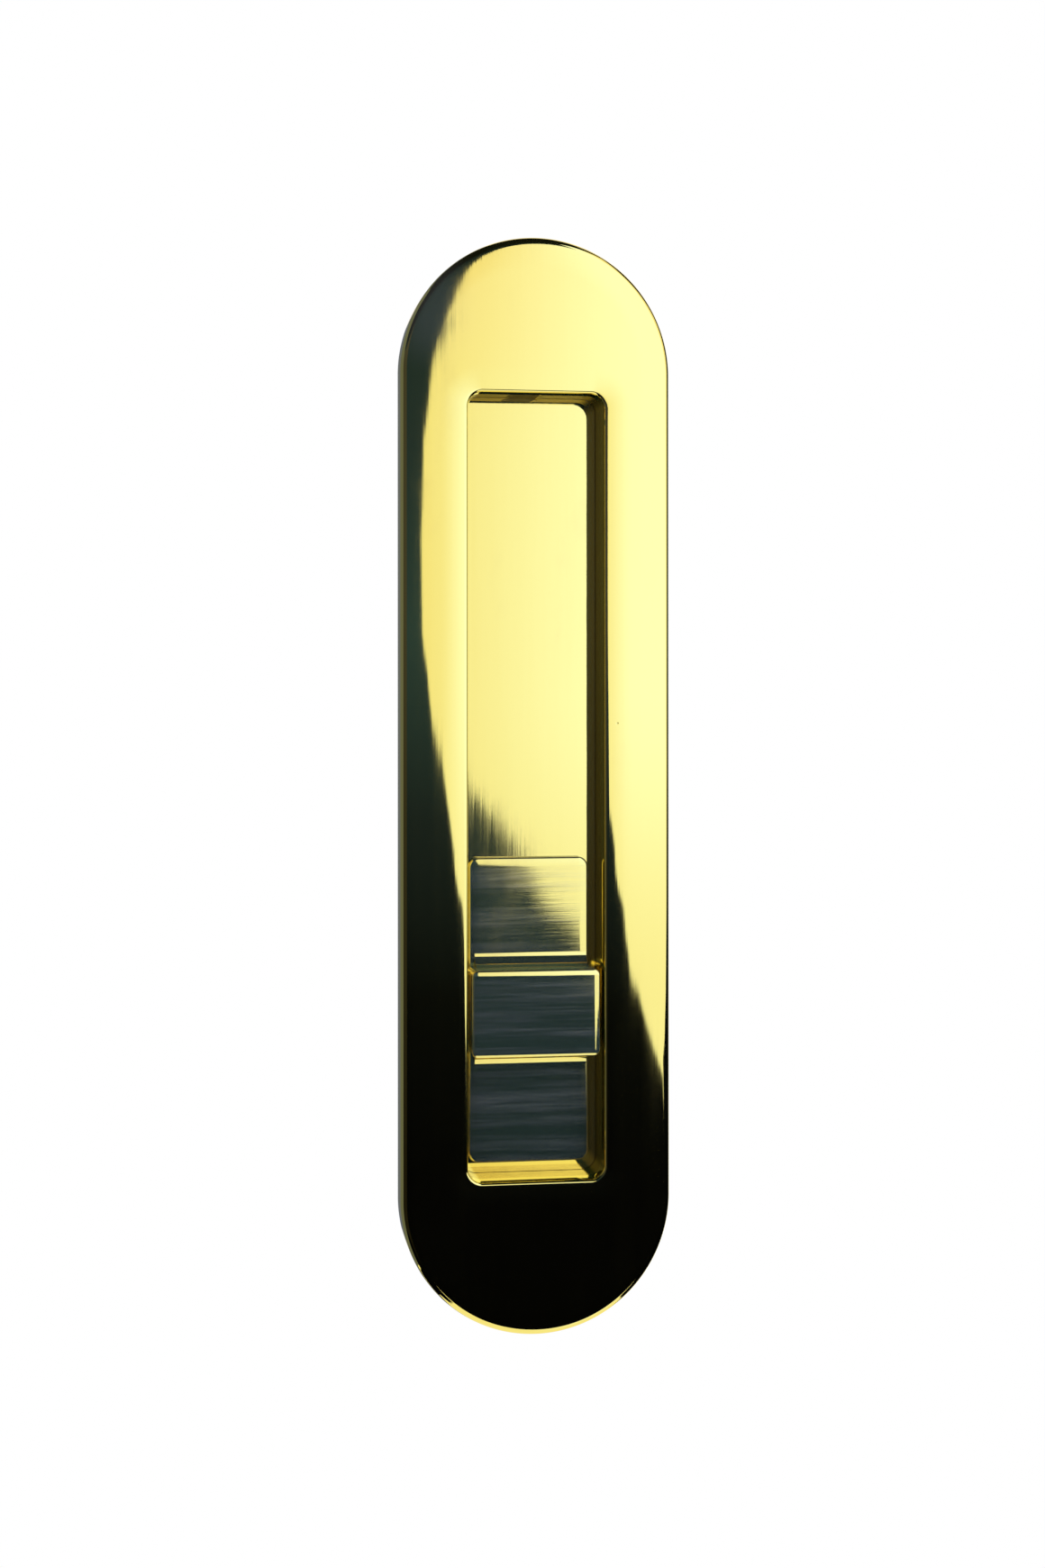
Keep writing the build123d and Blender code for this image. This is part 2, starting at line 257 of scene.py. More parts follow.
def grow(name, tree, values, finish, body, slot_name, *nodes):
    """Runs a geometry tree with these sizes and keeps the result as a plain mesh for one body."""
    piece = bpy.data.objects.new(name, bpy.data.meshes.new(name))
    bpy.context.scene.collection.objects.link(piece)
    maker = piece.modifiers.new(name, "NODES")
    maker.node_group = tree
    for socket in tree.interface.items_tree:
        if socket.in_out == "INPUT" and socket.name in values:
            maker[socket.identifier] = values[socket.name]
        if socket.in_out == "INPUT" and socket.name == "Finish":
            maker[socket.identifier] = finish
    shown = piece.evaluated_get(bpy.context.evaluated_depsgraph_get())
    mesh = bpy.data.meshes.new_from_object(shown)
    piece.modifiers.remove(maker)
    piece.data = mesh
    mesh.materials.clear()
    mesh.materials.append(finish)
    shell = bmesh.new()
    shell.from_mesh(mesh)
    bmesh.ops.recalc_face_normals(shell, faces=shell.faces)
    for face in shell.faces:
        face.smooth = len(face.verts) <= 4 and abs(face.normal.y) < flat_from
    shell.to_mesh(mesh)
    shell.free()
    mesh.set_sharp_from_angle(angle=smooth_below)
    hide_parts(*nodes)
    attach(piece, body)


crown_rows = 14
edge_rows = 10
outline = outline_group()
crowned_edge = crown_group()

plate_sizes = {
    "Length": 203.2 * mm,
    "Width": 50.8 * mm,
    "Thickness": 4.0 * mm,
    "Edge Crown": 6.0 * mm,
    "Edge Drop": 0.15 * mm,
    "Edge Radius": 1.2 * mm,
    "Recess Length": 145.8 * mm,
    "Recess Width": 25.8 * mm,
    "Recess Corner": 2.75 * mm,
    "Recess Centre": -0.2 * mm,
    "Rim Crown": 5.0 * mm,
    "Rim Drop": 0.12 * mm,
    "Rim Radius": 0.5 * mm,
    "Seat Width": 2.05 * mm,
    "Seat Depth": 1.2 * mm,
    "Post Spacing": 176.5 * mm,
    "Post Hole Radius": 4.05 * mm,
    "Post Hole Depth": 1.55 * mm,
}
plate_tree, size, sink = piece_group("round-ended plate", plate_sizes, "Plate")
front = size["Thickness"]
seat_front = front - size["Seat Depth"]


def rounded(centre, width, length, corner, points=96):
    """Inputs of the rounded outline."""
    return {"Centre": centre, "Width": width, "Length": length, "Corner": corner, "Points": points}


edge_line = rounded(0.0, size["Width"], size["Length"], size["Width"] * 0.5, 256)
rim_line = rounded(
    size["Recess Centre"], size["Recess Width"], size["Recess Length"], size["Recess Corner"]
)


def grown(sizes, by):
    """The same outline, set out by a distance."""
    wider = {key: sizes[key] + by * 2.0 for key in ("Width", "Length")}
    return {**sizes, **wider, "Corner": sizes["Corner"] + by}


edge_profile = use(
    plate_tree,
    crowned_edge,
    {
        "Crown Width": size["Edge Crown"],
        "Crown Drop": size["Edge Drop"],
        "Edge Radius": size["Edge Radius"],
        "Depth": size["Thickness"],
    },
)
rim_profile = use(
    plate_tree,
    crowned_edge,
    {
        "Crown Width": size["Rim Crown"],
        "Crown Drop": size["Rim Drop"],
        "Edge Radius": size["Rim Radius"],
        "Depth": seat_front,
        "Side": -1.0,
    },
)
seat_lines = [
    line(plate_tree, (0.0, seat_front), (size["Seat Width"], seat_front)),
    line(plate_tree, (size["Seat Width"], seat_front), (size["Seat Width"], front)),
]
hole_radius = size["Post Hole Radius"]
post_holes = [
    rounded(size["Post Spacing"] * end, hole_radius * 2.0, hole_radius * 2.0, hole_radius, 64)
    for end in (0.5, -0.5)
]
parts = [
    swept(plate_tree, use(plate_tree, outline, {**edge_line, "Height": front}), edge_profile),
    swept(plate_tree, use(plate_tree, outline, {**rim_line, "Height": front}), rim_profile),
    swept(
        plate_tree,
        use(plate_tree, outline, {**rim_line, "Height": front}),
        together(plate_tree, seat_lines),
    ),
    filled(
        plate_tree,
        front,
        use(plate_tree, outline, grown(edge_line, -size["Edge Crown"])),
        use(plate_tree, outline, grown(rim_line, size["Rim Crown"])),
    ),
    filled(
        plate_tree,
        0.0,
        use(plate_tree, outline, edge_line),
        use(plate_tree, outline, grown(rim_line, size["Seat Width"])),
        *[use(plate_tree, outline, hole) for hole in post_holes],
    ),
]
for hole in post_holes:
    hole_side = line(plate_tree, (0.0, 0.0), (0.0, -size["Post Hole Depth"]))
    parts.append(swept(plate_tree, use(plate_tree, outline, hole), hole_side))
    parts.append(filled(plate_tree, size["Post Hole Depth"], use(plate_tree, outline, hole)))
deliver(plate_tree, sink, together(plate_tree, parts), size["Finish"])


def new_material(name, colour, roughness, metallic=1.0):
    """Material with a Principled shader, and its tree, shader and object coordinates."""
    material = bpy.data.materials.new(name)
    material.use_nodes = True
    tree = material.node_tree
    shader = tree.nodes["Principled BSDF"]
    shader.inputs["Base Color"].default_value = (*colour, 1.0)
    shader.inputs["Roughness"].default_value = roughness
    shader.inputs["Metallic"].default_value = metallic
    place = add(tree, "ShaderNodeTexCoord").outputs["Object"]
    return material, tree, shader, place


def axis_value(tree, place, axis):
    """One coordinate of a place."""
    return Number(tree, add(tree, "ShaderNodeSeparateXYZ", {0: place}).outputs[axis])


def noise(tree, place, scale, detail, roughness):
    """Value from a noise whose scale may differ along X, Y and Z, in cells per metre."""
    stretched = add(tree, "ShaderNodeVectorMath", {0: place, 1: scale}, operation="MULTIPLY")
    inputs = {"Vector": stretched, "Scale": 1.0, "Detail": detail, "Roughness": roughness}
    return Number(tree, add(tree, "ShaderNodeTexNoise", inputs).outputs[0])


def ramp(tree, value, low, high, to_low=0.0, to_high=1.0):
    """Smooth step of a value between two marks."""
    limits = {"Value": value, "From Min": low, "From Max": high, "To Min": to_low, "To Max": to_high}
    made = add(tree, "ShaderNodeMapRange", limits, interpolation_type="SMOOTHSTEP")
    return Number(tree, made.outputs[0])


def blend(tree, share, first, second):
    """Colour between two colours."""
    made = add(tree, "ShaderNodeMix", data_type="RGBA")
    plug(tree, made.inputs[0], share)
    for socket, colour in ((made.inputs[6], first), (made.inputs[7], second)):
        plug(tree, socket, (*colour, 1.0) if isinstance(colour, tuple) else colour)
    return made.outputs[2]


def polishing_group():
    """Fine lines left by a buffing wheel, and the slow waves under them.

    Stretch is in cells per metre along each axis, so its smallest number runs along the lines.
    """
    inputs = {"Place": "Vector", "Stretch": "Vector", "Waves": 0.4}
    outputs = {"Height": "Float", "Streaks": "Float"}
    tree, given, sink = new_group("polishing lines", "ShaderNodeTree", inputs, outputs)
    wave_stretch, wave_height, plain_below, streaked_from = 0.17, 6.0, 0.42, 0.66
    lines = noise(tree, given["Place"], given["Stretch"], 5.0, 0.6)
    stretch = {0: given["Stretch"], "Scale": wave_stretch}
    broad = add(tree, "ShaderNodeVectorMath", stretch, operation="SCALE")
    waves = noise(tree, given["Place"], broad.outputs[0], 2.0, 0.5)
    plug(tree, sink.inputs[0], lines + waves * given["Waves"] * wave_height)
    plug(tree, sink.inputs[1], ramp(tree, lines * 0.5 + waves * 0.5, plain_below, streaked_from))
    return tree


def pits_group():
    """Sparse casting pits. Mask is 1 in a pit. Few is the share of cells that stay whole."""
    inputs = {"Place": "Vector", "Cells": 150.0, "Size": 0.1, "Few": 0.9}
    tree, given, sink = new_group("casting pits", "ShaderNodeTree", inputs, {"Mask": "Float"})
    pattern = {"Vector": given["Place"], "Scale": given["Cells"], "Randomness": 1.0}
    cells = add(tree, "ShaderNodeTexVoronoi", pattern)
    there = axis_value(tree, cells.outputs["Color"], "X").math("GREATER_THAN", given["Few"])
    bottom = given["Size"] * 0.3
    near = ramp(tree, Number(tree, cells.outputs["Distance"]), given["Size"], bottom)
    plug(tree, sink.inputs[0], near * there)
    return tree


def tarnish_group():
    """Cloudy film where fingers and polish didn't reach. Amount moves its edge."""
    inputs = {"Place": "Vector", "Scale": 40.0, "Amount": 0.4}
    tree, given, sink = new_group("tarnish film", "ShaderNodeTree", inputs, {"Mask": "Float"})
    scale = vector(tree, given["Scale"], given["Scale"], given["Scale"] * 0.5)
    cloud = noise(tree, given["Place"], scale, 6.0, 0.62)
    edge, softness = -given["Amount"] * 0.5 + 0.75, 0.14
    plug(tree, sink.inputs[0], ramp(tree, cloud, edge - softness, edge + softness))
    return tree


polishing_lines = polishing_group()
casting_pits = pits_group()
tarnish_film = tarnish_group()


def dent(tree, shader, *layers):
    """Stacks bumps. Each layer is a height and its depth in metres."""
    normal = None
    for height, depth in layers:
        made = add(tree, "ShaderNodeBump", {"Height": height, "Distance": depth, "Strength": 1.0})
        if normal:
            plug(tree, made.inputs["Normal"], normal)
        normal = made
    plug(tree, shader.inputs["Normal"], normal)


brass = (0.93, 0.78, 0.20)
dull_brass = (0.72, 0.53, 0.16)
dark_film = (0.16, 0.10, 0.04)
plate_brass, tree, shader, place = new_material("polished plate brass", brass, 0.045)
lines = use(tree, polishing_lines, {"Place": place, "Stretch": (1500.0, 1500.0, 28.0), "Waves": 0.25})
pits = use(tree, casting_pits, {"Place": place, "Cells": 130.0, "Size": 0.07, "Few": 0.955})
film = use(tree, tarnish_film, {"Place": place, "Scale": 46.0, "Amount": 0.12})
pit = Number(tree, pits.outputs[0])
haze = Number(tree, film.outputs[0])
streak = Number(tree, lines.outputs["Streaks"])
dulled_colour = blend(tree, haze * 0.35, brass, dull_brass)
plug(tree, shader.inputs["Base Color"], blend(tree, pit * 0.9, dulled_colour, dark_film))
plug(tree, shader.inputs["Roughness"], streak * 0.02 + haze * 0.05 + pit * 0.3 + 0.03)
haze_middle = (-19.5 * mm, -4.0 * mm, 88.0 * mm)
away = add(tree, "ShaderNodeVectorMath", {0: place, 1: haze_middle}, operation="DISTANCE")
haze_reach, haze_core = 13.0 * mm, 2.0 * mm
clouded = ramp(tree, Number(tree, away.outputs["Value"]), haze_reach, haze_core)
plug(tree, shader.inputs["Coat Weight"], clouded * 0.6)
shader.inputs["Coat Roughness"].default_value = 0.5
dent(tree, shader, (lines.outputs["Height"], 1.6e-6), (-pit, 4e-5))
grow("plate", plate_tree, plate_sizes, plate_brass, "body", "plate_brass", "face_plate")

# Cup wall. One strip of brass, bent round the recess and soldered behind the plate. Its ends meet
# in the top wall, where the left one stands a little proud and the joint is stained.
wall_thickness = 2.0 * mm
wall_front, wall_back = -1.2 * mm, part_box("cup_wall")[1][1]
half_width, half_length, bend_radius = 12.9 * mm, 72.9 * mm, 2.75 * mm
recess_middle = -0.2 * mm
seam_gap, seam_offset, seam_lean = 0.12 * mm, 1.8 * mm, 0.17
seam_step, step_depth = 0.9 * mm, 1.7 * mm
bent_length, bent_by, bent_at_front, bent_depth = 6.0 * mm, 0.2 * mm, 0.35, 3 * mm
wall_rows, bend_steps, right_steps, left_steps = 10, 20, 6, 24


def seam_place(depth):
    """Where the ends meet, across the door. The joint leans and has a step halfway."""
    step = seam_step if depth > step_depth else 0.0
    return seam_offset + seam_lean * depth - step


def strip_columns(depth):
    """Inner face of the strip at one depth, clockwise from the seam.

    Each column is a place and the direction out of the recess there.
    """
    columns = []
    left, right = seam_place(depth) - seam_gap / 2, seam_place(depth) + seam_gap / 2
    top, bottom = recess_middle + half_length, recess_middle - half_length
    flat = half_width - bend_radius
    for k in range(right_steps):
        columns.append((right + (flat - right) * k / right_steps, top, 0.0, 1.0))
    for corner_x, corner_z, start in (
        (flat, top - bend_radius, 90),
        (flat, bottom + bend_radius, 0),
        (-flat, bottom + bend_radius, -90),
        (-flat, top - bend_radius, -180),
    ):
        for k in range(bend_steps + 1):
            angle = turn(start - 90 * k / bend_steps)
            out_x, out_z = math.cos(angle), math.sin(angle)
            x, z = corner_x + bend_radius * out_x, corner_z + bend_radius * out_z
            columns.append((x, z, out_x, out_z))
    for k in range(1, left_steps + 1):
        x = -flat + (left + flat) * k / left_steps
        near = max(0.0, 1 - (left - x) / bent_length)
        share = min(1.0, bent_at_front + max(depth, 0.0) / bent_depth)
        columns.append((x, top - bent_by * near * near * (3 - 2 * near) * share, 0.0, 1.0))
    return columns


wall_mesh = bmesh.new()
depths = [wall_front + (wall_back - wall_front) * k / wall_rows for k in range(wall_rows + 1)]
inner, outer = [], []
for depth in depths:
    for sheet, out in ((inner, 0.0), (outer, wall_thickness)):
        sheet.append([
            wall_mesh.verts.new((x + out_x * out, depth, z + out_z * out))
            for x, z, out_x, out_z in strip_columns(depth)
        ])
count = len(inner[0])
for r in range(wall_rows):
    for k in range(count - 1):
        wall_mesh.faces.new((inner[r][k], inner[r][k + 1], inner[r + 1][k + 1], inner[r + 1][k]))
        wall_mesh.faces.new((outer[r][k], outer[r][k + 1], outer[r + 1][k + 1], outer[r + 1][k]))
    for k in (0, count - 1):
        wall_mesh.faces.new((inner[r][k], outer[r][k], outer[r + 1][k], inner[r + 1][k]))
for r in (0, wall_rows):
    for k in range(count - 1):
        wall_mesh.faces.new((inner[r][k], inner[r][k + 1], outer[r][k + 1], outer[r][k]))
bmesh.ops.remove_doubles(wall_mesh, verts=wall_mesh.verts, dist=1e-7)
bmesh.ops.recalc_face_normals(wall_mesh, faces=wall_mesh.faces)
for face in wall_mesh.faces:
    face.smooth = True
strip = bpy.data.meshes.new("cup_strip")
wall_mesh.to_mesh(strip)
wall_mesh.free()

strip_colour, strip_dark, joint_stain = (0.86, 0.66, 0.13), (0.5, 0.35, 0.06), (0.07, 0.05, 0.02)
wall_brass, tree, shader, place = new_material("drawn strip brass", strip_colour, 0.2)
lines = use(tree, polishing_lines, {"Place": place, "Stretch": (420.0, 1500.0, 60.0), "Waves": 0.5})
film = use(tree, tarnish_film, {"Place": place, "Scale": 70.0, "Amount": 0.3})
haze = Number(tree, film.outputs[0])
streak = Number(tree, lines.outputs["Streaks"])
across, up = axis_value(tree, place, "X"), axis_value(tree, place, "Z")
from_seam = ramp(tree, across, -7.0 * mm, -3.4 * mm) * ramp(tree, across, 2.0 * mm, 0.8 * mm)
ragged = noise(tree, place, (900.0, 900.0, 900.0), 4.0, 0.6)
stain = ramp(tree, from_seam * ramp(tree, up, 71.5 * mm, 72.2 * mm) + ragged * 0.9, 1.15, 1.38)
# Painted shade: the strip's colour darkens deeper into the recess, on top of the tarnish film.
recess_shade = ramp(tree, axis_value(tree, place, "Y"), 1.2 * mm, 2.6 * mm)
tarnish_and_recess_shade = blend(tree, haze * 0.5 + recess_shade * 0.3, strip_colour, strip_dark)
plug(tree, shader.inputs["Base Color"], blend(tree, stain * 0.85, tarnish_and_recess_shade, joint_stain))
heated = ramp(tree, up, 71.5 * mm, 72.5 * mm)
wear = streak * 0.06 + haze * 0.08 + stain * 0.2 + heated * 0.25
plug(tree, shader.inputs["Roughness"], wear + 0.13)
dent(tree, shader, (lines.outputs["Height"], 5e-6))
strip.materials.append(wall_brass)
strip.set_sharp_from_angle(angle=smooth_below)
cup_strip = bpy.data.objects.new("cup_strip", strip)
bpy.context.scene.collection.objects.link(cup_strip)
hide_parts("cup_wall")
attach(cup_strip, "body")

# Cup floor. A flat brass sheet soldered inside the strip, with a long slot for the slide's stem.
# Buffing has left lines along it, and its sides are painted duller, as shade in the crease by the strip.
floor_brass, tree, shader, place = new_material("buffed floor brass", brass, 0.05)
lines = use(tree, polishing_lines, {"Place": place, "Stretch": (1100.0, 1100.0, 30.0), "Waves": 0.35})
pits = use(tree, casting_pits, {"Place": place, "Cells": 150.0, "Size": 0.09, "Few": 0.93})
film = use(tree, tarnish_film, {"Place": place, "Scale": 50.0, "Amount": 0.18})
pit, haze = Number(tree, pits.outputs[0]), Number(tree, film.outputs[0])
streak = Number(tree, lines.outputs["Streaks"])
# Painted shade: the floor's colour is duller along its sides, in the crease where it meets the strip.
from_side = axis_value(tree, place, "X").math("ABSOLUTE")
crease_shade = ramp(tree, from_side, 12.2 * mm, 12.9 * mm)
dulled_colour = blend(tree, haze * 0.4 + crease_shade * 0.5, brass, dull_brass)
plug(tree, shader.inputs["Base Color"], blend(tree, pit * 0.9, dulled_colour, dark_film))
plug(tree, shader.inputs["Roughness"], streak * 0.02 + haze * 0.04 + pit * 0.3 + 0.035)
shader.inputs["Sheen Weight"].default_value = 0.035
shader.inputs["Sheen Roughness"].default_value = 1.0
shader.inputs["Sheen Tint"].default_value = (0.3, 1.0, 0.9, 1.0)
dent(tree, shader, (lines.outputs["Height"], 2.5e-6), (-pit, 5e-5))


def refinish(node, finish):
    """Gives a carried-over node its finish."""
    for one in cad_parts[node].material_slots:
        one.material = finish


refinish("cup_floor", floor_brass)

# Thumb slide. A low pad with a tall bar across it, filed from one block of brass, with hollow feet
# up to the bar and a stem through the floor's slot. It is buffed crosswise.


def block(tree, shape, front, back, edge=None):
    """Closed block with an outline, a flat or crowned front and a flat back.

    edge holds the front's crown width, crown drop and edge radius.
    """
    top = use(tree, outline, {**shape, "Height": front})
    if edge is None:
        side = line(tree, (0.0, 0.0), (0.0, front - back))
        cap = filled(tree, front, use(tree, outline, shape))
    else:
        edge_sizes = dict(zip(("Crown Width", "Crown Drop", "Edge Radius"), edge))
        side = use(tree, crowned_edge, {**edge_sizes, "Depth": front - back})
        cap = filled(tree, front, use(tree, outline, grown(shape, -edge[0])))
    base = add(tree, "GeometryNodeFlipFaces", {0: filled(tree, back, use(tree, outline, shape))})
    return welded(tree, together(tree, [swept(tree, top, side), cap, base]))


def scaled(tree, shape, by):
    return add(tree, "GeometryNodeTransform", {"Geometry": shape, "Scale": (by, by, by)})


def joined(tree, *blocks):
    """Union of closed blocks, worked out in millimetres so that thin edges survive."""
    inputs = {"Mesh 2": [scaled(tree, one, 1 / mm) for one in blocks]}
    whole = add(tree, "GeometryNodeMeshBoolean", inputs, operation="UNION", solver="MANIFOLD")
    return scaled(tree, whole, mm)


def cut(tree, whole, *cutters):
    """A closed block without the cutters."""
    large = [scaled(tree, one, 1 / mm) for one in cutters]
    inputs = {"Mesh 1": scaled(tree, whole, 1 / mm), "Mesh 2": large}
    return scaled(tree, add(tree, "GeometryNodeMeshBoolean", inputs, operation="DIFFERENCE"), mm)


def square_block(tree, size_xyz, centre_xyz):
    made = add(tree, "GeometryNodeMeshCube", {"Size": vector(tree, *size_xyz)})
    return shifted(tree, made, *centre_xyz)


slide_middle = -42.35 * mm
slide_sizes = {
    "Centre": slide_middle,
    "Pad Width": 22.9 * mm,
    "Pad Shift": -0.35 * mm,
    "Pad Length": 57.1 * mm,
    "Pad Corner": 1.9 * mm,
    "Pad Front": -1.0 * mm,
    "Pad Back": -2.0 * mm,
    "Pad Crown": 1.8 * mm,
    "Pad Drop": 0.06 * mm,
    "Edge Radius": 0.35 * mm,
    "Bar Width": 24.2 * mm,
    "Bar Length": 16.1 * mm,
    "Bar Corner": 1.2 * mm,
    "Bar Front": 3.6 * mm,
    "Bar Crown": 1.15 * mm,
    "Bar Drop": 0.17 * mm,
    "Bar Offset": 0.15 * mm,
    "Foot Width": 21.36 * mm,
    "Upper Foot": 2.6 * mm,
    "Lower Foot": 2.45 * mm,
    "Stem Length": 20.0 * mm,
    "Stem Width": 7.0 * mm,
    "Stem End": -5.2 * mm,
}
slide_tree, size, sink = piece_group("stepped thumb slide", slide_sizes, "Slide")
bar_middle = size["Centre"] + size["Bar Offset"]
pad_line = rounded(size["Centre"], size["Pad Width"], size["Pad Length"], size["Pad Corner"])
bar_line = rounded(bar_middle, size["Bar Width"], size["Bar Length"], size["Bar Corner"])
stem_line = rounded(size["Centre"], size["Stem Width"], size["Stem Length"], size["Stem Width"] * 0.5, 64)
pad_edge = (size["Pad Crown"], size["Pad Drop"], size["Edge Radius"])
bar_edge = (size["Bar Crown"], size["Bar Drop"], size["Edge Radius"])
pad_block = block(slide_tree, pad_line, size["Pad Front"], size["Pad Back"], pad_edge)
stem_sunk, foot_sunk = 0.4 * mm, 0.5 * mm
past = 1 * mm
slide_blocks = [
    shifted(slide_tree, pad_block, size["Pad Shift"]),
    block(slide_tree, bar_line, size["Bar Front"], size["Pad Back"], bar_edge),
    block(slide_tree, stem_line, size["Pad Back"] + stem_sunk, size["Stem End"]),
]
for foot, side in ((size["Upper Foot"], 1.0), (size["Lower Foot"], -1.0)):
    root = bar_middle + size["Bar Length"] * (0.5 * side)
    corner = square_block(
        slide_tree,
        (size["Foot Width"], foot + foot_sunk, foot + foot_sunk),
        (0.0, root + (foot - foot_sunk) * (0.5 * side), size["Pad Front"] + (foot - foot_sunk) * 0.5),
    )
    cutter_sizes = {"Vertices": 160, "Radius": foot, "Depth": size["Foot Width"] + past}
    cutter = add(slide_tree, "GeometryNodeMeshCylinder", cutter_sizes)
    lie_across = {
        "Geometry": cutter.outputs["Mesh"],
        "Rotation": (0.0, math.pi / 2, 0.0),
        "Translation": vector(slide_tree, 0.0, root + foot * side, size["Pad Front"] + foot),
    }
    hollow = add(slide_tree, "GeometryNodeTransform", lie_across)
    slide_blocks.append(cut(slide_tree, corner, hollow))
deliver(slide_tree, sink, joined(slide_tree, *slide_blocks), size["Finish"])

slide_brass, tree, shader, place = new_material("crosswise buffed brass", brass, 0.06)
lines = use(tree, polishing_lines, {"Place": place, "Stretch": (60.0, 1900.0, 1900.0), "Waves": 0.3})
pits = use(tree, casting_pits, {"Place": place, "Cells": 170.0, "Size": 0.07, "Few": 0.95})
film = use(tree, tarnish_film, {"Place": place, "Scale": 55.0, "Amount": 0.2})
pit, haze = Number(tree, pits.outputs[0]), Number(tree, film.outputs[0])
streak = Number(tree, lines.outputs["Streaks"])
# Painted shade: the pad's sides and the stem, low by the floor, are coloured in duller brass, mixed with the
# tarnish film.
low = ramp(tree, axis_value(tree, place, "Y"), 1.2 * mm, 1.9 * mm)
dulled_colour = blend(tree, haze * 0.35 + low * 0.5, brass, dull_brass)
plug(tree, shader.inputs["Base Color"], blend(tree, pit * 0.9, dulled_colour, dark_film))
plug(tree, shader.inputs["Roughness"], streak * 0.03 + haze * 0.04 + pit * 0.3 + 0.04)
plug(tree, shader.inputs["Coat Weight"], streak * 0.8)
shader.inputs["Coat IOR"].default_value = 1.8
shader.inputs["Coat Roughness"].default_value = 0.45
shader.inputs["Sheen Weight"].default_value = 0.07
shader.inputs["Sheen Roughness"].default_value = 1.0
shader.inputs["Sheen Tint"].default_value = (0.5, 1.0, 0.85, 1.0)
dent(tree, shader, (lines.outputs["Height"], 2.2e-6), (-pit, 4e-5))
grow("stepped_slide", slide_tree, slide_sizes, slide_brass, "slide", "slide_brass", "thumb_slide")

# Carrier. A milled brass plate behind the floor, screwed to the slide's stem through its
# countersunk holes, so that pad, stem and carrier move as one.


def unpolished(name, colour, roughness, stretch):
    """Finish of a hidden piece: tool marks along one way, and a little film."""
    made, tree, shader, place = new_material(name, colour, roughness)
    marks = use(tree, polishing_lines, {"Place": place, "Stretch": stretch, "Waves": 0.5})
    film = use(tree, tarnish_film, {"Place": place, "Scale": 90.0, "Amount": 0.35})
    haze, streak = Number(tree, film.outputs[0]), Number(tree, marks.outputs["Streaks"])
    darker = tuple(0.55 * value for value in colour)
    plug(tree, shader.inputs["Base Color"], blend(tree, haze * 0.5 + streak * 0.15, colour, darker))
    plug(tree, shader.inputs["Roughness"], streak * 0.1 + haze * 0.12 + (roughness - 0.1))
    dent(tree, shader, (marks.outputs["Height"], 6e-6))
    return made


carrier_brass = unpolished("milled carrier brass", (0.72, 0.53, 0.20), 0.34, (60.0, 900.0, 900.0))
refinish("slide_carrier", carrier_brass)

# Drive pin. A turned steel pin with a collar, its shank pressed through the leaf spring into the
# carrier. It works the lock behind the pull.


def turned_finish(name, colour, roughness):
    """Lathe-turned finish: fine rings round the piece, one after another into the door."""
    return unpolished(name, colour, roughness, (8.0, 2600.0, 8.0))


def lathe_group():
    """Solid turned about an axis into the door. The profile's X is the radius and Y the depth."""
    inputs = {"Profile": "Geometry", "X": 0.0, "Z": 0.0, "Points": "Int"}
    tree, given, sink = new_group("turned solid", "GeometryNodeTree", inputs, {"Solid": "Geometry"})
    guide = 1 * mm
    guide_line = {"Resolution": given["Points"], "Radius": guide}
    circle = add(tree, "GeometryNodeCurvePrimitiveCircle", guide_line)
    circle = add(tree, "GeometryNodeSetCurveNormal", {"Curve": circle}, mode="Z_UP")
    shell = welded(tree, swept(tree, circle, shifted(tree, given["Profile"], -guide)))
    plug(tree, sink.inputs[0], shifted(tree, shell, given["X"], given["Z"]))
    return tree


turned_solid = lathe_group()


def turned(tree, marks, x, z, points):
    """Solid turned from its marks, pairs of radius and depth."""
    profile = together(tree, [line(tree, *ends) for ends in zip(marks, marks[1:])])
    return use(tree, turned_solid, {"Profile": profile, "X": x, "Z": z, "Points": points})


pin_sizes = {
    "Place": slide_middle,
    "Shank Radius": 1.6 * mm,
    "Shank End": 5.7 * mm,
    "Collar Radius": 4.0 * mm,
    "Collar Front": 8.1 * mm,
    "Collar Back": 9.1 * mm,
    "Neck Radius": 3.0 * mm,
    "Shoulder": 12.85 * mm,
    "Radius": 2.5 * mm,
    "End": 24.85 * mm,
    "Chamfer": 0.5 * mm,
    "Bevel": 0.12 * mm,
}
pin_tree, size, sink = piece_group("stepped pin", pin_sizes, "Pin")
bevel = size["Bevel"]
pin_marks = [
    (0.0, size["Shank End"]),
    (size["Shank Radius"], size["Shank End"]),
    (size["Shank Radius"], size["Collar Front"]),
    (size["Collar Radius"] - bevel, size["Collar Front"]),
    (size["Collar Radius"], size["Collar Front"] + bevel),
    (size["Collar Radius"], size["Collar Back"] - bevel),
    (size["Collar Radius"] - bevel, size["Collar Back"]),
    (size["Neck Radius"], size["Collar Back"]),
    (size["Neck Radius"], size["Shoulder"] - bevel),
    (size["Neck Radius"] - bevel, size["Shoulder"]),
    (size["Radius"], size["Shoulder"]),
    (size["Radius"], size["End"] - size["Chamfer"]),
    (size["Radius"] - size["Chamfer"], size["End"]),
    (0.0, size["End"]),
]
deliver(pin_tree, sink, turned(pin_tree, pin_marks, 0.0, size["Place"], 96), size["Finish"])
pin_steel = turned_finish("turned pin steel", (0.56, 0.55, 0.53), 0.3)
grow("stepped_pin", pin_tree, pin_sizes, pin_steel, "slide", "pin_steel", "drive_pin")

# Leaf spring. A bowed strip of blued steel under the pin's collar. Its ends rub on the cover and
# hold the slide where it is left.
spring_steel = unpolished("blued spring steel", (0.10, 0.11, 0.15), 0.26, (900.0, 60.0, 60.0))
refinish("leaf_spring", spring_steel)

